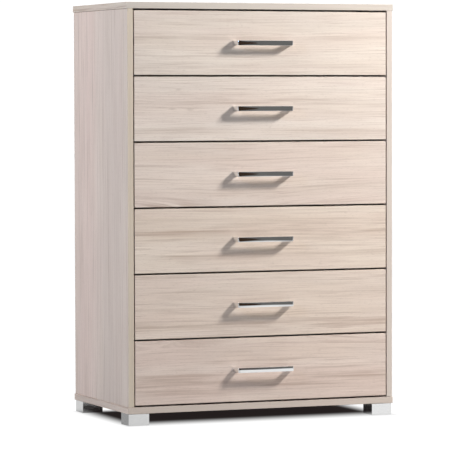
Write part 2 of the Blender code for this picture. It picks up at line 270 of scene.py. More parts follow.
def wood_material(name, grain, seed, look, figure=None, tint=(1.0, 1.0, 1.0), bold=1.0,
                  band=None):
    """Ash-look board: wavy growth lines, streaks, fine lines and pores along the grain axis.

    figure holds what stands out on one board: arches (along, across, lift, length),
    knots (along, across, radius) and streaks (along, across, half length, half width, depth).
    washes are broad toned bands (across, half width, share, colour), sheen is the strength of
    reflections. bold scales how strongly the lines show. band is the colour of a carcass
    board's plain front edge; without one the board is a drawer front, whose narrow edges all
    carry a darker colour: painted shade standing in for the shade in the gaps between drawers.
    """
    figure = figure or {}
    made = bpy.data.materials.new(name)
    shade = Shade(made)
    x, y, z = shade.place()
    nx, ny = (abs(part) for part in shade.facing()[:2])
    if grain == "X":
        end = nx > 0.7
        along = x + end * (y - x)
        across = z
        depth = y + end * (x - y)
    else:
        side = nx > 0.7
        along = z
        across = x + side * (y - x)
        depth = y + side * (x - y)
    offset = 3.7 * seed

    wander = shade.noise(along * 1.3 + offset, across * 4.0 + offset, depth * 4.0, 2.0, 0.45) - 0.5
    ripple = shade.noise(along * 6.0 + offset, across * 22.0, depth * 8.0 - offset, 2.0, 0.5) - 0.5
    ring = across + (depth - FRONT_Y) * 0.35 + wander * look.wander + ripple * look.ripple
    for a, b, lift, length in figure.get("arches", ()):
        reach = (along - a) / length
        fall = (across - b) / (length * 0.14)
        ring = ring + lift / (1.0 + reach * reach + fall * fall)
    knot_mark = None
    for a, b, radius in figure.get("knots", ()):
        du = (along - a) / (radius * 2.6)
        dv = (across - b) / radius
        near = 1.0 / (1.0 + du * du + dv * dv)
        ring = ring + (across - b) * near * 1.6
        mark = near.step(0.40, 1.0)
        knot_mark = mark if knot_mark is None else knot_mark.larger(mark)

    broad = shade.noise(ring * 26.0 + offset, along * 0.8, depth * 2.0, 2.0, 0.5)
    crowd = shade.noise(ring * 48.0 - offset, along * 1.1, depth * 3.0, 2.0, 0.6)
    line = shade.noise(ring * 205.0, along * 2.4 + offset, depth * 6.0, 3.0, 0.60)
    fine = shade.noise(ring * 470.0 + offset, along * 6.5, depth * 30.0, 2.0, 0.6)
    pore = shade.noise(across * 1000.0 + depth * 900.0, along * 85.0 + offset, ring * 60.0,
                       1.0, 0.5)
    blotch = shade.noise(along * 3.5, across * 9.0 + offset, depth * 5.0, 2.0, 0.5)
    blush = shade.noise(along * 2.2 - offset, ring * 17.0, depth * 4.0 + offset, 2.0, 0.5)
    broken = shade.noise(along * 5.0 + offset, ring * 60.0, depth * 5.0, 2.0, 0.5)
    busy = 0.35 + crowd.step(0.40, 0.62) * 0.75
    streaked = None
    for a, b, long, wide, depth_of in figure.get("streaks", ()):
        du = (along - a) / long
        dv = (ring - b) / wide
        du, dv = du * du, dv * dv
        mark = depth_of / (1.0 + du * du + dv * dv)
        streaked = mark if streaked is None else streaked + mark

    def paint(colour, factor=1.0):
        return (*(part * share * factor for part, share in zip(colour, tint)), 1.0)

    colour = shade.mix(broad.step(0.34, 0.70) * min(1.0, 0.70 * bold), paint(look.pale),
                       paint(look.warm))
    colour = shade.mix(blotch.step(0.40, 0.68) * 0.5, colour, paint(look.grey))
    colour = shade.mix(blush.step(0.42, 0.64) * min(1.0, 0.60 * bold), colour, paint(look.pink))
    for b, half, share, tone in figure.get("washes", ()):
        dv = (across - b) / half
        dv = dv * dv
        colour = shade.mix(share / (1.0 + dv * dv), colour, paint(tone))
    if streaked is not None:
        rows = broken.step(0.26, 0.58) * (0.40 + 0.60 * line.step(0.40, 0.60))
        streaked = (streaked * rows).clamped()
        colour = shade.mix(streaked, colour, paint(look.line))
    dark_line = line.step(0.50, 0.70) * broken.step(0.28, 0.66) * busy
    dark_line = (dark_line * (look.line_strength * bold)).clamped()
    colour = shade.mix(dark_line, colour, paint(look.line))
    fine_line = fine.step(0.44, 0.74) * (0.45 + busy * 0.55) * look.fine_strength
    colour = shade.mix(fine_line, colour, paint(look.line))
    light_line = (1.0 - line).step(0.54, 0.72) * 0.30
    colour = shade.mix(light_line, colour, paint(look.pale, 1.08))
    ticks = pore.step(0.60, 0.72) * look.pore_strength
    colour = shade.mix(ticks, colour, paint(look.line, 0.72))
    if knot_mark is not None:
        colour = shade.mix(knot_mark * 0.30, colour, paint(look.line, 0.85))
    if band:
        colour = shade.mix((ny > 0.7) * 0.70, colour, paint(band))
    else:
        # Painted shade: the front's narrow edges are darkened to stand in for the shade in the gaps
        # between drawers.
        colour = shade.mix((ny < 0.7) * 0.80, colour, paint(look.rim))

    polish = shade.noise(along * 9.0, across * 30.0, depth * 9.0 + offset, 2.0, 0.5)
    rough = look.roughness + (polish - 0.5) * 0.10 + dark_line * 0.05
    height = fine * 0.5 - ticks * 1.4 - dark_line * 0.6
    shade.finish(Base_Color=colour, Roughness=rough, Normal=shade.bump(height, look.relief, 0.6),
                 Specular_IOR_Level=figure.get("sheen", 0.42))
    return made


def foil_material(name, colour, roughness):
    """White foil on drawer boards: faint linen print, soft mottling and faint lengthwise streaks.
    """
    made = bpy.data.materials.new(name)
    shade = Shade(made)
    x, y, z = shade.place()
    cloth = shade.noise(x * 900.0, y * 900.0, z * 240.0, 1.0, 0.5)
    mottle = shade.noise(x * 9.0, y * 6.0, z * 14.0, 3.0, 0.55)
    streak = shade.noise(x * 3.0, y * 5.0, z * 160.0, 2.0, 0.5)
    base = shade.mix(mottle.step(0.35, 0.7), tinted(colour, 0.94), colour4(colour))
    base = shade.mix(streak.step(0.5, 0.75) * 0.25, base, tinted(colour, 0.86))
    base = shade.mix(cloth.step(0.55, 0.75) * 0.12, base, tinted(colour, 0.80))
    rough = roughness + (mottle - 0.5) * 0.12 + cloth * 0.04
    relief = shade.bump(cloth + streak * 0.4, 0.00008, 0.5)
    shade.finish(Base_Color=base, Roughness=rough, Normal=relief)
    return made


def hardboard_material(name, smooth_colour, rough_colour, smooth_axis, smooth_sign):
    """Hardboard: lacquered on one face, brown and screen-printed on the other."""
    made = bpy.data.materials.new(name)
    shade = Shade(made)
    x, y, z = shade.place()
    facing = shade.facing()[smooth_axis] * smooth_sign
    smooth = facing > 0.5
    a, b = (x, z) if smooth_axis == 1 else (x, y)
    mesh = (a * 2400.0).wave() * (b * 2400.0).wave()
    fibre = shade.noise(x * 60.0, y * 60.0, z * 60.0, 4.0, 0.65)
    fleck = shade.noise(x * 420.0, y * 420.0, z * 420.0, 2.0, 0.6)
    cloud = shade.noise(x * 4.0, y * 4.0, z * 4.0, 3.0, 0.5)
    brown = shade.mix(fibre.step(0.35, 0.7), tinted(rough_colour, 0.80), tinted(rough_colour, 1.12))
    brown = shade.mix(fleck.step(0.60, 0.78) * 0.55, brown, tinted(rough_colour, 0.45))
    pale = shade.mix(cloud.step(0.3, 0.7), tinted(smooth_colour, 0.95), colour4(smooth_colour))
    pale = shade.mix(fleck.step(0.62, 0.8) * 0.10, pale, tinted(smooth_colour, 0.7))
    base = shade.mix(smooth, brown, pale)
    rough = 0.78 - smooth * 0.36 + (fibre - 0.5) * 0.1
    height = (1.0 - smooth) * (mesh * 0.5 + fleck) + smooth * fleck * 0.1
    relief = shade.bump(height, 0.00015, 0.7)
    shade.finish(Base_Color=base, Roughness=rough, Normal=relief)
    return made


def chrome_material(name, colour):
    """Polished chrome plate: faint smears and hairline scratches."""
    made = bpy.data.materials.new(name)
    shade = Shade(made)
    x, y, z = shade.place()
    smear = shade.noise(x * 18.0, y * 30.0, z * 30.0, 3.0, 0.6)
    hair = shade.noise(x * 120.0, y * 1600.0, z * 1600.0, 2.0, 0.5)
    base = shade.mix(smear.step(0.3, 0.8), colour4(colour), tinted(colour, 0.93))
    rough = 0.012 + smear.step(0.5, 0.8) * 0.020 + hair.step(0.62, 0.8) * 0.030
    relief = shade.bump(hair, 0.000001, 0.25)
    shade.finish(Base_Color=base, Metallic=1.0, Roughness=rough, Normal=relief)
    return made


def satin_metal_material(name, colour, roughness, grain_axis="X"):
    """Satin silver: fine brushed lines along one axis, with soft clouds in tone and polish."""
    made = bpy.data.materials.new(name)
    shade = Shade(made)
    x, y, z = shade.place()
    if grain_axis == "Z":
        brushed = shade.noise(x * 1100.0, y * 1100.0, z * 60.0, 3.0, 0.6)
    else:
        brushed = shade.noise(x * 50.0, y * 50.0, z * 1100.0, 3.0, 0.6)
    cloud = shade.noise(x * 22.0, y * 22.0, z * 40.0, 2.0, 0.5)
    base = shade.mix(brushed.step(0.3, 0.75), tinted(colour, 0.90), colour4(colour))
    base = shade.mix(cloud.step(0.4, 0.7) * 0.3, base, tinted(colour, 0.92))
    rough = roughness + (brushed - 0.5) * 0.12 + (cloud - 0.5) * 0.05
    relief = shade.bump(brushed, 0.00002, 0.4)
    shade.finish(Base_Color=base, Metallic=1.0, Roughness=rough, Normal=relief)
    return made


def plastic_material(name, colour, roughness):
    """Moulded plastic: fine spark-eroded texture, slight yellowing and slide marks lengthwise."""
    made = bpy.data.materials.new(name)
    shade = Shade(made)
    x, y, z = shade.place()
    spark = shade.noise(x * 1300.0, y * 1300.0, z * 1300.0, 2.0, 0.6)
    rub = shade.noise(x * 200.0, y * 8.0, z * 700.0, 2.0, 0.5)
    cloud = shade.noise(x * 12.0, y * 12.0, z * 12.0, 2.0, 0.5)
    base = shade.mix(cloud.step(0.3, 0.7), tinted(colour, 0.93), colour4(colour))
    base = shade.mix(rub.step(0.55, 0.75) * 0.3, base, tinted(colour, 0.82))
    rough = roughness + (spark - 0.5) * 0.15 - rub.step(0.55, 0.75) * 0.10
    relief = shade.bump(spark, 0.00005, 0.5)
    shade.finish(Base_Color=base, Roughness=rough, Normal=relief)
    return made


# ---------------------------------------------------------------- mesh helpers


def new_object(name, mesh, material=None):
    made = bpy.data.objects.new(name, mesh)
    bpy.context.scene.collection.objects.link(made)
    if material is not None:
        mesh.materials.append(material)
    return made


def mesh_from(name, shape, smooth=True):
    bmesh.ops.recalc_face_normals(shape, faces=shape.faces[:])
    mesh = bpy.data.meshes.new(name)
    shape.to_mesh(mesh)
    shape.free()
    for face in mesh.polygons:
        face.use_smooth = smooth
    return mesh


def set_material(node, material):
    """Gives a CAD node its finish."""
    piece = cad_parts[node]
    piece.data.materials.clear()
    piece.data.materials.append(material)


def loft(shape, rings, closed_ends=True):
    for here, there in zip(rings, rings[1:]):
        count = len(here)
        for i in range(count):
            j = (i + 1) % count
            shape.faces.new((here[i], here[j], there[j], there[i]))
    if closed_ends:
        shape.faces.new(rings[0][::-1])
        shape.faces.new(rings[-1])


def smooth_path(points, steps):
    """Points on a smooth curve through the given points (Catmull-Rom), ends kept."""
    padded = [points[0]] + list(points) + [points[-1]]
    out = []
    for i in range(1, len(padded) - 2):
        a, b, c, d = (Vector(p) for p in padded[i - 1:i + 3])
        for k in range(steps):
            t = k / steps
            out.append(
                0.5 * ((2 * b) + (c - a) * t + (2 * a - 5 * b + 4 * c - d) * t * t
                       + (3 * b - a - 3 * c + d) * t * t * t)
            )
    out.append(Vector(points[-1]))
    return out


# ---------------------------------------------------------------- settings


class ChestBoardSettings(bpy.types.PropertyGroup):
    pale: bpy.props.FloatVectorProperty(
        name="Pale wood", description="Lightest tone between growth lines", subtype="COLOR", size=3,
        min=0.0, max=1.0, default=(0.755, 0.663, 0.577))
    warm: bpy.props.FloatVectorProperty(
        name="Warm wood", description="Warmer tone of the broad bands", subtype="COLOR", size=3,
        min=0.0, max=1.0, default=(0.688, 0.582, 0.488))
    grey: bpy.props.FloatVectorProperty(
        name="Greyed wood", description="Cool blotches", subtype="COLOR", size=3,
        min=0.0, max=1.0, default=(0.645, 0.565, 0.498))
    pink: bpy.props.FloatVectorProperty(
        name="Blushed wood", description="Pinkish bands", subtype="COLOR", size=3,
        min=0.0, max=1.0, default=(0.705, 0.592, 0.515))
    band: bpy.props.FloatVectorProperty(
        name="Edge band", description="Plain band on the carcass's front edges",
        subtype="COLOR", size=3, min=0.0, max=1.0, default=(0.585, 0.520, 0.455))
    top_band: bpy.props.FloatVectorProperty(
        name="Top edge band", description="Band of the top panel's edges",
        subtype="COLOR", size=3, min=0.0, max=1.0, default=(0.625, 0.570, 0.515))
    left_band: bpy.props.FloatVectorProperty(
        name="Left edge band", description="Yellower band of the left side's front edge",
        subtype="COLOR", size=3, min=0.0, max=1.0, default=(0.600, 0.515, 0.385))
    # Painted shade on the drawer fronts' narrow edges, standing in for the shade in the gaps
    # between drawers.
    rim: bpy.props.FloatVectorProperty(
        name="Front's rim", description="Band on the narrow edges of the drawer fronts",
        subtype="COLOR", size=3, min=0.0, max=1.0, default=(0.330, 0.240, 0.185))
    line: bpy.props.FloatVectorProperty(
        name="Growth line", description="Dark late-wood line", subtype="COLOR", size=3,
        min=0.0, max=1.0, default=(0.450, 0.340, 0.275))
    line_strength: bpy.props.FloatProperty(
        name="Line strength", description="How strongly growth lines show", default=0.64,
        min=0.0, max=1.0, subtype="FACTOR")
    fine_strength: bpy.props.FloatProperty(
        name="Streak strength", description="How strongly fine streaks show", default=0.56,
        min=0.0, max=1.0, subtype="FACTOR")
    pore_strength: bpy.props.FloatProperty(
        name="Pore strength", description="How strongly the pores show", default=0.24,
        min=0.0, max=1.0, subtype="FACTOR")
    wander: bpy.props.FloatProperty(
        name="Wander", description="How far growth lines wander over the board's length",
        default=0.020, min=0.0, max=0.2, subtype="DISTANCE", unit="LENGTH")
    ripple: bpy.props.FloatProperty(
        name="Ripple", description="Short waves in the growth lines", default=0.0045, min=0.0,
        max=0.05, subtype="DISTANCE", unit="LENGTH")
    relief: bpy.props.FloatProperty(
        name="Relief", description="Depth of the embossed pores", default=0.00012, min=0.0,
        max=0.001, subtype="DISTANCE", unit="LENGTH")
    roughness: bpy.props.FloatProperty(
        name="Roughness", description="Sheen of the board face", default=0.46, min=0.0, max=1.0,
        subtype="FACTOR")


class ChestDrawerSettings(bpy.types.PropertyGroup):
    foil: bpy.props.FloatVectorProperty(
        name="Drawer foil", description="Colour of the drawer sides and backs", subtype="COLOR",
        size=3, min=0.0, max=1.0, default=(0.62, 0.585, 0.535))
    foil_roughness: bpy.props.FloatProperty(
        name="Foil roughness", description="Sheen of the drawer boards", default=0.48, min=0.0,
        max=1.0, subtype="FACTOR")
    hardboard_pale: bpy.props.FloatVectorProperty(
        name="Lacquered hardboard", description="Lacquered face of the thin boards",
        subtype="COLOR", size=3, min=0.0, max=1.0, default=(0.64, 0.595, 0.535))
    back_inside: bpy.props.FloatVectorProperty(
        name="Back panel inside", description="Smooth brown inner face of the back panel",
        subtype="COLOR", size=3, min=0.0, max=1.0, default=(0.34, 0.24, 0.16))
    hardboard_brown: bpy.props.FloatVectorProperty(
        name="Raw hardboard", description="Rough face of the thin boards", subtype="COLOR",
        size=3, min=0.0, max=1.0, default=(0.30, 0.19, 0.11))
    runner: bpy.props.FloatVectorProperty(
        name="Runner plastic", description="Colour of the runner strips", subtype="COLOR",
        size=3, min=0.0, max=1.0, default=(0.72, 0.71, 0.68))


class ChestMetalSettings(bpy.types.PropertyGroup):
    chrome: bpy.props.FloatVectorProperty(
        name="Chrome", description="Handle plating", subtype="COLOR", size=3, min=0.0, max=1.0,
        default=(0.84, 0.84, 0.84))
    foot: bpy.props.FloatVectorProperty(
        name="Foot metal", description="Silver of the feet", subtype="COLOR", size=3,
        min=0.0, max=1.0, default=(0.86, 0.86, 0.86))
    foot_roughness: bpy.props.FloatProperty(
        name="Foot roughness", description="Sheen of the feet", default=0.13, min=0.0, max=1.0,
        subtype="FACTOR")
    zinc: bpy.props.FloatVectorProperty(
        name="Zinc", description="Screws, bolts and nails", subtype="COLOR", size=3, min=0.0,
        max=1.0, default=(0.66, 0.67, 0.68))
    handle_crown: bpy.props.FloatProperty(
        name="Handle crown", description="How far the bar's face swells at its middle",
        default=0.00042, min=0.0, max=0.002, subtype="DISTANCE", unit="LENGTH")
    foot_edge: bpy.props.FloatProperty(
        name="Foot edge", description="Radius of the foot's edges", default=0.0009, min=0.0002,
        max=0.004, subtype="DISTANCE", unit="LENGTH")


class ChestStageSettings(bpy.types.PropertyGroup):
    key_power: bpy.props.FloatProperty(
        name="Key light", description="Softbox at the front right", default=126.0, min=0.0,
        unit="POWER")
    top_power: bpy.props.FloatProperty(
        name="Top light", description="Large softbox overhead", default=25.0, min=0.0,
        unit="POWER")
    left_power: bpy.props.FloatProperty(
        name="Left light", description="Soft fill at the left", default=64.0, min=0.0,
        unit="POWER")
    cool_power: bpy.props.FloatProperty(
        name="Cool light", description="Small cool lamp at the front left", default=17.5, min=0.0,
        unit="POWER")
    room_light: bpy.props.FloatVectorProperty(
        name="Room light", description="Light from the room around", subtype="COLOR", size=3,
        min=0.0, max=2.0, default=(0.03, 0.03, 0.03))
    left_light: bpy.props.FloatVectorProperty(
        name="Light from the left", description="Soft light of the left wall", subtype="COLOR",
        size=3, min=0.0, max=2.0, default=(0.635, 0.640, 0.665))
    floor_white: bpy.props.FloatProperty(
        name="Floor white", description="How bright the floor looks", default=1.02, min=0.0,
        max=4.0)
    floor_bounce: bpy.props.FloatProperty(
        name="Floor bounce", description="How much light the floor throws back", default=0.47,
        min=0.0, max=4.0)
    floor_mirrored: bpy.props.FloatProperty(
        name="Mirrored floor", description="How bright the floor looks in polished metal",
        default=0.70, min=0.0, max=4.0)
    lens: bpy.props.FloatProperty(
        name="Lens", description="Focal length of the camera", default=234.034, min=10.0,
        max=500.0, subtype="DISTANCE_CAMERA", unit="CAMERA")


# ---------------------------------------------------------------- boards

# What stands out on each drawer front, in metres from the front's middle, and its tint.
FRONT_FIGURE = (
    {"seed": 1.0, "bold": 0.95, "tint": (1.0, 1.0, 1.0),
     "streaks": ((-0.24, 0.018, 0.20, 0.009, 0.55), (0.26, 0.014, 0.16, 0.006, 0.40),
                 (-0.05, -0.062, 0.60, 0.007, 0.30))},
    {"seed": 2.3, "bold": 0.95, "tint": (1.03, 1.03, 1.04),
     "streaks": ((-0.20, 0.019, 0.22, 0.007, 0.50), (0.22, 0.017, 0.20, 0.006, 0.40),
                 (0.0, -0.060, 0.60, 0.009, 0.45)),
     "knots": ((-0.239, 0.051, 0.004), (-0.257, 0.0, 0.005), (-0.207, -0.002, 0.005))},
    {"seed": 3.1, "bold": 1.0, "tint": (1.0, 0.972, 0.974),
     "streaks": ((-0.22, 0.028, 0.22, 0.004, 0.45), (0.10, -0.030, 0.40, 0.006, 0.30)),
     "arches": ((-0.14, -0.105, 0.050, 0.26),)},
    {"seed": 4.6, "bold": 1.1, "tint": (1.025, 1.0, 0.975),
     "streaks": ((-0.26, 0.024, 0.20, 0.008, 0.65), (0.22, 0.020, 0.26, 0.008, 0.60),
                 (0.0, 0.046, 0.60, 0.010, 0.40), (0.0, -0.040, 0.5, 0.004, 0.40)),
     "arches": ((-0.27, -0.110, 0.050, 0.15), (0.146, -0.105, 0.045, 0.10))},
    {"seed": 5.2, "bold": 0.95, "tint": (1.01, 0.975, 0.957),
     "streaks": ((0.0, -0.054, 0.70, 0.010, 0.80), (-0.1, 0.030, 0.40, 0.005, 0.35))},
    {"seed": 6.9, "bold": 1.3, "tint": (1.0, 0.952, 0.950),
     "streaks": ((-0.27, -0.026, 0.16, 0.013, 0.80), (0.26, -0.028, 0.20, 0.009, 0.85),
                 (-0.30, 0.058, 0.16, 0.008, 0.45), (0.0, -0.060, 0.6, 0.006, 0.40)),
     "arches": ((0.03, 0.105, -0.070, 0.12), (-0.33, 0.085, -0.040, 0.10))},
)


class CHEST_OT_carcass(bpy.types.Operator):
    """Finish the top, bottom, sides and back of the carcass"""

    bl_idname = "chest.carcass"
    bl_label = "Carcass Boards"

    def execute(self, context):
        look = context.scene.chest_boards
        drawers = context.scene.chest_drawers
        # Painted shade: the bottom panel is tinted darker to stand in for the weaker light that
        # reaches it.
        bottom_shade_tint = (0.95, 0.91, 0.90)
        side_figure = {"washes": ((0.13, 0.085, 0.60, (0.79, 0.610, 0.535)),
                                  (-0.09, 0.085, 0.75, (0.635, 0.535, 0.465)))}
        # Painted shade: the top panel's tint darkens it to tone down the strong light that falls on
        # it.
        panels = (("top_panel", "X", 11.0, {"sheen": 0.0}, (0.93, 0.93, 0.92), look.top_band),
                  ("bottom_panel", "X", 12.4, {}, bottom_shade_tint, look.band),
                  ("left_side", "Z", 13.7, side_figure, (1.0, 0.99, 1.0), look.left_band),
                  ("right_side", "Z", 15.1, {}, (1.0, 0.99, 1.0), look.band))
        for node, grain, seed, figure, tint, band in panels:
            set_material(node, wood_material(node + "_board", grain, seed, look, figure, tint,
                                             CARCASS_BOLD, band))
        back = hardboard_material("back_hardboard", drawers.back_inside,
                                  drawers.hardboard_brown, 1, -1.0)
        set_material("back_panel", back)
        return {"FINISHED"}


class CHEST_OT_fronts(bpy.types.Operator):
    """Finish the six drawer fronts, each with its own run of grain"""

    bl_idname = "chest.fronts"
    bl_label = "Drawer Fronts"

    def execute(self, context):
        look = context.scene.chest_boards
        for number, figure in enumerate(FRONT_FIGURE, 1):
            node = f"drawer_{number}_front"
            low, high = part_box(node)
            middle = (low[2] + high[2]) / 2
            raised = {kind: [(a, middle + b, *rest) for a, b, *rest in figure.get(kind, ())]
                      for kind in ("arches", "knots", "streaks")}
            set_material(node, wood_material(node + "_board", "X", figure["seed"], look, raised,
                                             figure["tint"], figure["bold"]))
        return {"FINISHED"}


class CHEST_OT_drawer_boxes(bpy.types.Operator):
    """Finish the drawer sides, backs, bottoms and the runner strips"""

    bl_idname = "chest.drawer_boxes"
    bl_label = "Drawer Boxes and Runners"

    def execute(self, context):
        look = context.scene.chest_drawers
        foil = foil_material("drawer_foil", look.foil, look.foil_roughness)
        bottom = hardboard_material("drawer_bottom_hardboard", look.hardboard_pale,
                                    look.hardboard_brown, 2, 1.0)
        runner = plastic_material("runner_plastic", look.runner, 0.42)
        for number in range(1, DRAWERS + 1):
            for part in ("side_left", "side_right", "back"):
                set_material(f"drawer_{number}_{part}", foil)
            set_material(f"drawer_{number}_bottom", bottom)
            set_material(f"runner_{number}_left", runner)
            set_material(f"runner_{number}_right", runner)
        return {"FINISHED"}


# ---------------------------------------------------------------- handles


def handle_outlines(half_root, reach):
    """Outer and inner outline of a handle's right half: (x, distance out from the front)."""
    bar = half_root - 0.0046
    outer = ((half_root, 0.0), (half_root - 0.0003, 0.005), (half_root - 0.0015, 0.0130),
             (bar + 0.0010, 0.0210))
    inner_reach = reach - 0.0052
    inner = ((half_root - 0.0104, 0.0), (half_root - 0.0104, 0.005), (half_root - 0.0108, 0.0112),
             (bar - 0.0070, 0.0168))
    corner_out = arc_points((bar + 0.0010, 0.0210), (bar + 0.0002, reach),
                            (bar - 0.0064, reach), BEND_STEPS)
    corner_in = arc_points((bar - 0.0070, 0.0168), (bar - 0.0082, inner_reach),
                           (bar - 0.0150, inner_reach), BEND_STEPS)
    return smooth_path(outer, 3)[:-1] + corner_out, smooth_path(inner, 3)[:-1] + corner_in


def arc_points(start, corner, end, count):
    """A rounded corner as a quadratic curve."""
    a, b, c = Vector(start), Vector(corner), Vector(end)
    out = []
    for i in range(count + 1):
        t = i / count
        out.append(a * (1 - t) ** 2 + b * 2 * t * (1 - t) + c * t * t)
    return out


def handle_section(tall, thick, crown, edge):
    """Cross-section of the bow: (distance in from the face, height) around a crowned flat bar."""
    half = tall / 2
    face_half = half - edge
    points = []
    for i in range(FACE_STEPS + 1):
        s = -1 + 2 * i / FACE_STEPS
        points.append((crown * s * s, s * face_half))
    for i in range(1, EDGE_STEPS + 1):
        angle = math.pi / 2 * i / EDGE_STEPS
        points.append((crown + edge * (1 - math.cos(angle)), face_half + edge * math.sin(angle)))
    points.append((thick - edge, half))
    for i in range(1, EDGE_STEPS + 1):
        angle = math.pi / 2 * i / EDGE_STEPS
        points.append((thick - edge + edge * math.sin(angle), face_half + edge * math.cos(angle)))
    points += [(inward, -height) for inward, height in points[:FACE_STEPS:-1]]
    return points


def handle_mesh(name, centre, half_root, reach, tall, crown, front_y):
    """Bow handle: legs that lean inward, rounded corners and a bar whose face is gently crowned."""
    outer, inner = handle_outlines(half_root, reach)
    pairs = list(zip(outer, inner))
    outer_end, inner_end = outer[-1], inner[-1]
    for share in (0.012, 0.33, 0.66, 1.0):
        pairs.append((outer_end.lerp(Vector((0.0, outer_end[1])), share),
                      inner_end.lerp(Vector((0.0, inner_end[1])), share)))
    left = [(Vector((-a[0], a[1])), Vector((-b[0], b[1]))) for a, b in pairs[:-1]]
    shape = bmesh.new()
    rings = []
    for a, b in left + pairs[::-1]:
        out = a - b
        thick = out.length
        out = out.normalized()
        swell = crown * min(1.0, a[1] / SWELL_REACH)
        ring = []
        for inward, height in handle_section(tall, thick, swell, HANDLE_EDGE):
            point = a - out * inward
            ring.append(shape.verts.new((centre.x + point[0], front_y - point[1],
                                         centre.z + height)))
        rings.append(ring)
    loft(shape, rings)
    return mesh_from(name, shape)


class CHEST_OT_handles(bpy.types.Operator):
    """Make the six polished bow handles"""

    bl_idname = "chest.handles"
    bl_label = "Bow Handles"

    def execute(self, context):
        look = context.scene.chest_metal
        chrome = chrome_material("handle_chrome", look.chrome)
        for number in range(1, DRAWERS + 1):
            node = f"drawer_{number}_handle"
            low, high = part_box(node)
            centre = (low + high) / 2
            mesh = handle_mesh(f"bow_handle_{number}", centre, (high.x - low.x) / 2,
                               high.y - low.y, high.z - low.z, look.handle_crown, high.y)
            piece = new_object(f"bow_handle_{number}", mesh, chrome)
            split = piece.modifiers.new("crisp", "EDGE_SPLIT")
            split.split_angle = HANDLE_CREASE
            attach(piece, f"drawer_{number}")
            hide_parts(node)
        return {"FINISHED"}


# ---------------------------------------------------------------- feet


def foot_mesh(name, low, high, edge):
    """Block foot with rounded edges and a shallow hollow underneath."""
    shape = bmesh.new()
    size = high - low
    middle = (low + high) / 2
    place = Matrix.Translation(middle) @ Matrix.Diagonal((*size, 1.0))
    bmesh.ops.create_cube(shape, size=1.0, matrix=place)
    bottom = min(shape.faces, key=lambda face: face.calc_center_median().z)
    bmesh.ops.inset_region(shape, faces=[bottom], thickness=FOOT_HOLLOW_INSET,
                             depth=0.0)
    for vert in bottom.verts:
        vert.co.z += FOOT_HOLLOW_DEPTH
    sharp = [e for e in shape.edges if len(e.link_faces) == 2 and e.calc_face_angle() > 0.5]
    bmesh.ops.bevel(shape, geom=sharp, offset=edge, segments=4, profile=0.5, affect="EDGES")
    return mesh_from(name, shape)


class CHEST_OT_feet(bpy.types.Operator):
    """Make the four satin block feet"""

    bl_idname = "chest.feet"
    bl_label = "Block Feet"

    def execute(self, context):
        look = context.scene.chest_metal
        metal = satin_metal_material("foot_satin_metal", look.foot, look.foot_roughness)
        for place in ("front_left", "front_right", "rear_left", "rear_right"):
            node = f"foot_{place}"
            low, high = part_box(node)
            piece = new_object(f"block_foot_{place}",
                               foot_mesh(f"block_foot_{place}", low, high, look.foot_edge), metal)
            weighted = piece.modifiers.new("even_shading", "WEIGHTED_NORMAL")
            weighted.keep_sharp = True
            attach(piece, "carcass")
            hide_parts(node)
        return {"FINISHED"}


# ---------------------------------------------------------------- fixings


def turned_head(shape, place, axis, profile, spin=0.0, cross=None):
    """A turned head: profile is (distance along axis, radius) up to the flat top.

    cross is (reach, width, depth) of a four-armed recess sunk into the flat top.
    """
    turn = Vector(axis).normalized().to_track_quat("Z", "Y").to_matrix()

    def ring(points, along):
        return [shape.verts.new(Vector(place) + turn @ Vector((x, y, along))) for x, y in points]

    rings = []
    for along, radius in profile:
        angles = [spin + (i - 1.5) * 2 * math.pi / HEAD_SIDES for i in range(HEAD_SIDES)]
        rings.append(ring([(radius * math.cos(a), radius * math.sin(a)) for a in angles], along))
    if cross:
        reach, width, deep = cross
        star = []
        for arm in range(4):
            base = spin + arm * math.pi / 2
            half = width / reach / 2
            waist = width * 0.7
            for angle, radius in ((base - 0.6, waist), (base - half, reach),
                                  (base + half, reach), (base + 0.6, waist)):
                star.append((radius * math.cos(angle), radius * math.sin(angle)))
        top = profile[-1][0]
        rings.append(ring(star, top))
        rings.append(ring([(x * 0.6, y * 0.6) for x, y in star], top - deep))
    loft(shape, rings)


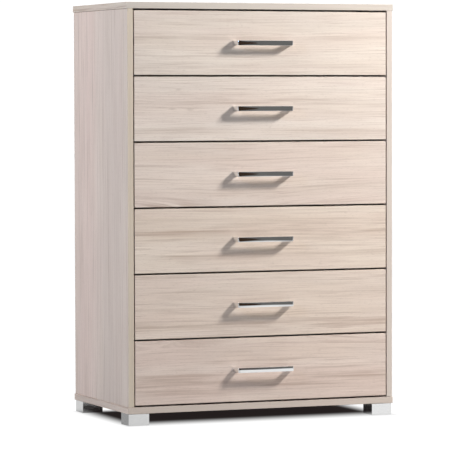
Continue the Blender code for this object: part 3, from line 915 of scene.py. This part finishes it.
class CHEST_OT_fixings(bpy.types.Operator):
    """Make the handle bolts, runner screws, drawer corner screws and back panel nails"""

    bl_idname = "chest.fixings"
    bl_label = "Screws, Bolts and Nails"

    def execute(self, context):
        zinc = satin_metal_material("zinc_plate", context.scene.chest_metal.zinc, 0.30, "Z")
        chance = random.Random(7)
        for number in range(1, DRAWERS + 1):
            self.handle_bolts(number, zinc, chance)
            self.corner_screws(number, zinc, chance)
            for side in ("left", "right"):
                self.runner_screws(number, side, zinc, chance)
        self.back_nails(zinc)
        return {"FINISHED"}

    @staticmethod
    def add(name, shape, material, body, slot):
        piece = new_object(name, mesh_from(name, shape), material)
        split = piece.modifiers.new("crisp", "EDGE_SPLIT")
        split.split_angle = FIXING_CREASE
        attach(piece, body)
        return piece

    def handle_bolts(self, number, zinc, chance):
        """Two pan-head bolts behind a front, with their washers."""
        low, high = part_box(f"drawer_{number}_handle")
        back_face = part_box(f"drawer_{number}_front")[1][1]
        shape = bmesh.new()
        for side in (-1, 1):
            x = side * ((high.x - low.x) / 2 - BOLT_INSET)
            place = (x, back_face + HEAD_LIFT, (low.z + high.z) / 2)
            turned_head(shape, place, (0, 1, 0), BOLT_PROFILE, chance.uniform(0, 1.5),
                        BOLT_CROSS)
        self.add(f"handle_bolts_{number}", shape, zinc, f"drawer_{number}", "fixing_steel")

    def runner_screws(self, number, side, zinc, chance):
        """The countersunk screws along a runner strip."""
        low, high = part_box(f"runner_{number}_{side}")
        sign = -1 if side == "left" else 1
        ridge = low.x if sign > 0 else high.x
        shape = bmesh.new()
        for step in RUNNER_SCREW_STEPS:
            place = (ridge + sign * RUNNER_SCREW_LIFT, low.y + step, (low.z + high.z) / 2)
            turned_head(shape, place, (-sign, 0, 0), RUNNER_SCREW_PROFILE,
                        chance.uniform(0, 1.5), RUNNER_SCREW_CROSS)
        self.add(f"runner_screws_{number}_{side}", shape, zinc, "carcass", "fixing_steel")

    def corner_screws(self, number, zinc, chance):
        """Two countersunk screws through each drawer side into the drawer back."""
        shape = bmesh.new()
        back_low, back_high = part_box(f"drawer_{number}_back")
        y = (back_low[1] + back_high[1]) / 2
        for side, sign in (("left", -1), ("right", 1)):
            low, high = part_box(f"drawer_{number}_side_{side}")
            face = low[0] if sign < 0 else high[0]
            for z in (low[2] + CORNER_SCREW_ABOVE_SIDE, high[2] - CORNER_SCREW_BELOW_TOP):
                place = (face + sign * HEAD_LIFT, y, z)
                turned_head(shape, place, (sign, 0, 0), CORNER_SCREW_PROFILE,
                            chance.uniform(0, 1.5), CORNER_SCREW_CROSS)
        self.add(f"corner_screws_{number}", shape, zinc, f"drawer_{number}", "fixing_steel")

    def back_nails(self, zinc):
        """Flat-headed nails along the edges of the back panel."""
        low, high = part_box("back_panel")
        shape = bmesh.new()
        for i in range(NAIL_ROWS):
            z = low[2] + NAIL_END + (high[2] - low[2] - 2 * NAIL_END) * i / (NAIL_ROWS - 1)
            for x in (low[0] + NAIL_INSET, high[0] - NAIL_INSET):
                turned_head(shape, (x, high[1] + NAIL_LIFT, z), (0, 1, 0), NAIL_PROFILE)
        self.add("back_panel_nails", shape, zinc, "carcass", "fixing_steel")


# ---------------------------------------------------------------- stage


def area_light(name, place, target, width, height, power, colour):
    data = bpy.data.lights.new(name, "AREA")
    data.shape = "RECTANGLE"
    data.size = width
    data.size_y = height
    data.energy = power
    data.color = colour
    lamp = bpy.data.objects.new(name, data)
    bpy.context.scene.collection.objects.link(lamp)
    lamp.location = place
    lamp.rotation_euler = (Vector(target) - Vector(place)).to_track_quat("-Z", "Y").to_euler()
    return lamp


def leave_dark(lamp, sheets):
    """Keeps a lamp's light off the floor, so that the floor stays even."""
    left_out = bpy.data.collections.new(lamp.name + "_leaves_out")
    for sheet in sheets:
        left_out.objects.link(sheet)
    lamp.light_linking.receiver_collection = left_out
    for member in left_out.collection_objects:
        member.light_linking.link_state = "EXCLUDE"


def floor_material(name, base_level, glow_level, slope=0.0, side_shade=0.0, far_shade=0.0):
    """Pale floor: soft matt sheet that glows evenly white, with a painted shadow under the chest,
    where the glow fades to near black.

    slope paints light: it makes the glow stronger towards the key light. side_shade paints the
    chest's shadow: it weakens the glow left of the chest. far_shade paints the edge of a pool of
    light: it weakens the glow far from the chest.
    """
    made = bpy.data.materials.new(name)
    shade = Shade(made)
    x, y, z = shade.place()
    # How far a point lies under the chest, for the painted shadow there.
    inside_side = (HALF_WIDTH - abs(x) + 0.024) / 0.080
    inside_front = (y - FRONT_Y + 0.047) / 0.165
    inside_back = (REAR_Y - y + 0.018) / 0.090
    inside = inside_side.smaller(inside_front).smaller(inside_back)
    dust = shade.noise(x * 3.0, y * 3.0, z, 3.0, 0.5)
    base = shade.mix(dust, (*[base_level * 0.96] * 3, 1.0), (*[base_level] * 3, 1.0))
    # Painted light: the glow grows towards the key light on the right.
    level = 1.0 + slope * x.step(-0.5, 0.5)
    # Painted shadow: the chest's shadow from the key light, painted left of the chest.
    if side_shade:
        beside = (-1.0 * x).step(0.30, 0.40) * (1.0 - (-1.0 * x).step(0.55, 0.9))
        along_side = (y - FRONT_Y).step(0.0, 0.06) * (1.0 - y.step(0.15, 0.32))
        level = level * (1.0 - beside * along_side * side_shade)
    # Painted light: the glow falls off far from the chest, like the edge of a lit pool.
    if far_shade:
        away = (x * x + y * y).root()
        level = level * (1.0 - away.step(1.5, 3.4) * far_shade)
    grey = shade.join(level, level, level)
    # Painted shadow: the glow turns near black under the chest.
    light = shade.mix(inside.step(0.0, 1.0), grey, PAINTED_SHADOW_UNDER_CHEST)
    shade.finish(Base_Color=base, Roughness=0.9, Emission_Color=light,
                 Emission_Strength=glow_level, Specular_IOR_Level=0.0)
    return made


def floor_sheet(name, material, left, right, front, back, height):
    mesh = bpy.data.meshes.new(name)
    corners = ((left, front), (right, front), (right, back), (left, back))
    mesh.from_pydata([(x, y, height) for x, y in corners], [], [(0, 1, 2, 3)])
    sheet = new_object(name, mesh, material)
    return sheet


def build_world(look):
    """White behind the chest, soft light from the left, and a darker end of the room in front."""
    world = bpy.data.worlds.new("studio")
    bpy.context.scene.world = world
    shade = Shade(world)
    x, y, z = shade.split(shade.node("ShaderNodeTexCoord", None, None, out=0))
    turn = shade.node("ShaderNodeMath", {"operation": "ARCTAN2"}, {0: x, 1: -1.0 * y})
    seen = shade.node("ShaderNodeLightPath", None, None, out=0)
    mirrored = shade.node("ShaderNodeLightPath", None, None, out=3)
    # Light that falls on matt surfaces.
    left = (-1.0 * x).step(0.25, 0.95)
    fall = shade.mix(left, colour4(look.room_light), colour4(look.left_light))
    fall = shade.mix(z.step(0.02, 0.20), BLACK, fall)
    # What polished metal mirrors.
    near_front = (abs(turn) < DARK_HALF_TURN) * (abs(z) < 0.42)
    dark = shade.mix(turn > DARK_SPLIT_TURN, DARK_BROWN, DARK_GREY)
    beside = (abs(turn) > DARK_HALF_TURN) * z.step(0.0, 0.06) * (1.0 - z.step(0.20, 0.42))
    room = shade.mix(beside * 0.6, ROOM_WHITE, ROOM_SHADE)
    mirror = shade.mix(near_front, room, dark)
    colour = shade.mix(mirrored, fall, mirror)
    colour = shade.mix(seen, colour, SEEN_WHITE)
    surface = shade.node("ShaderNodeBackground", None, {"Color": colour, "Strength": 1.0})
    shade.node("ShaderNodeOutputWorld", None, {"Surface": surface})


class CHEST_OT_stage(bpy.types.Operator):
    """Set up the floor, the lamps, the room and the camera"""

    bl_idname = "chest.stage"
    bl_label = "Stage"

    def execute(self, context):
        look = context.scene.chest_stage
        scene = context.scene
        # The floor that the camera sees: an even white glow, with a painted shadow under the chest.
        white = floor_material("pale_floor", 0.06, look.floor_white)
        floor = floor_sheet("studio_floor", white, -12.0, 12.0, -3.2, 12.0, 0.0)
        floor.visible_diffuse = False
        floor.visible_glossy = False
        floor.visible_shadow = False
        # The floor that the chest gets light back from, kept weaker than the floor looks. Its glow
        # carries painted light towards the key, a painted shadow left of the chest and one under
        # it.
        dim = floor_material("floor_bounce", 0.05, look.floor_bounce, 0.50, 0.5)
        bounce = floor_sheet("floor_bounce", dim, -4.0, 4.0, -3.0, 4.0, -0.002)
        bounce.visible_camera = False
        bounce.visible_glossy = False
        # The floor that polished metal mirrors. Its glow carries painted light towards the key, a
        # painted shadow left of the chest, a painted shadow under it and a painted falloff far from
        # it.
        mirrored = floor_material("floor_mirrored", 0.05, look.floor_mirrored, 0.36, 0.55, 0.5)
        mirror = floor_sheet("floor_mirrored", mirrored, -4.0, 4.0, -3.2, 4.0, -0.001)
        mirror.visible_camera = False
        mirror.visible_diffuse = False
        mirror.visible_shadow = False

        key = area_light("key_light", (2.10, -1.578, 2.295), LAMP_TARGET, 0.66, 0.42,
                         look.key_power, (1.0, 0.985, 0.965))
        leave_dark(key, (floor, bounce, mirror))
        area_light("top_light", (0.2, -0.6, 3.2), (0.1, -0.5, 0.0), 3.0, 3.0,
                   look.top_power, (1.0, 0.995, 0.985))
        area_light("left_light", (-3.2, -0.3, 2.6), (-0.3, 0.0, 0.6), 1.4, 1.4,
                   look.left_power, (0.94, 0.94, 0.96))
        cool = area_light("cool_light", (-2.71, -1.69, 1.85), LAMP_TARGET, 0.25, 0.25,
                          look.cool_power, (0.40, 0.63, 1.0))
        leave_dark(cool, (floor, bounce, mirror))
        build_world(look)

        data = bpy.data.cameras.new("camera")
        camera = bpy.data.objects.new("camera", data)
        scene.collection.objects.link(camera)
        data.lens = look.lens
        data.sensor_width = SENSOR_WIDTH
        data.clip_start = 0.1
        data.clip_end = 100.0
        camera.location = CAMERA_PLACE
        yaw, pitch, roll = CAMERA_YAW, CAMERA_PITCH, CAMERA_ROLL
        ahead = Vector((math.sin(yaw) * math.cos(pitch), math.cos(yaw) * math.cos(pitch),
                        -math.sin(pitch)))
        right = Vector((math.cos(yaw), -math.sin(yaw), 0.0))
        up = right.cross(ahead)
        side = right * math.cos(roll) + up * math.sin(roll)
        head = up * math.cos(roll) - right * math.sin(roll)
        basis = Matrix((side, head, -ahead)).transposed()
        camera.rotation_euler = basis.to_euler()
        scene.camera = camera

        scene.view_settings.view_transform = "Standard"
        scene.view_settings.look = "None"
        scene.view_settings.exposure = 0.0
        scene.view_settings.gamma = 1.0
        return {"FINISHED"}


# ---------------------------------------------------------------- add-on


class CHEST_PT_panel(bpy.types.Panel):
    """The chest's builders"""

    bl_label = "Tall Chest of Drawers"
    bl_idname = "CHEST_PT_panel"
    bl_space_type = "VIEW_3D"
    bl_region_type = "UI"
    bl_category = "Chest"

    def draw(self, context):
        for operator in OPERATORS:
            self.layout.operator(operator.bl_idname)
        for group in ("chest_boards", "chest_drawers", "chest_metal", "chest_stage"):
            settings = getattr(context.scene, group)
            box = self.layout.box()
            for key in settings.bl_rna.properties.keys():
                if key not in ("rna_type", "name"):
                    box.prop(settings, key)


OPERATORS = (CHEST_OT_carcass, CHEST_OT_fronts, CHEST_OT_drawer_boxes, CHEST_OT_handles,
             CHEST_OT_feet, CHEST_OT_fixings, CHEST_OT_stage)
SETTINGS = (("chest_boards", ChestBoardSettings), ("chest_drawers", ChestDrawerSettings),
            ("chest_metal", ChestMetalSettings), ("chest_stage", ChestStageSettings))


def register():
    for name, group in SETTINGS:
        bpy.utils.register_class(group)
        setattr(bpy.types.Scene, name, bpy.props.PointerProperty(type=group))
    for operator in OPERATORS:
        bpy.utils.register_class(operator)
    bpy.utils.register_class(CHEST_PT_panel)


def unregister():
    bpy.utils.unregister_class(CHEST_PT_panel)
    for operator in reversed(OPERATORS):
        bpy.utils.unregister_class(operator)
    for name, group in reversed(SETTINGS):
        delattr(bpy.types.Scene, name)
        bpy.utils.unregister_class(group)


def main():
    register()
    bpy.ops.chest.carcass()
    bpy.ops.chest.fronts()
    bpy.ops.chest.drawer_boxes()
    bpy.ops.chest.handles()
    bpy.ops.chest.feet()
    bpy.ops.chest.fixings()
    bpy.ops.chest.stage()


if __name__ == "__main__":
    main()
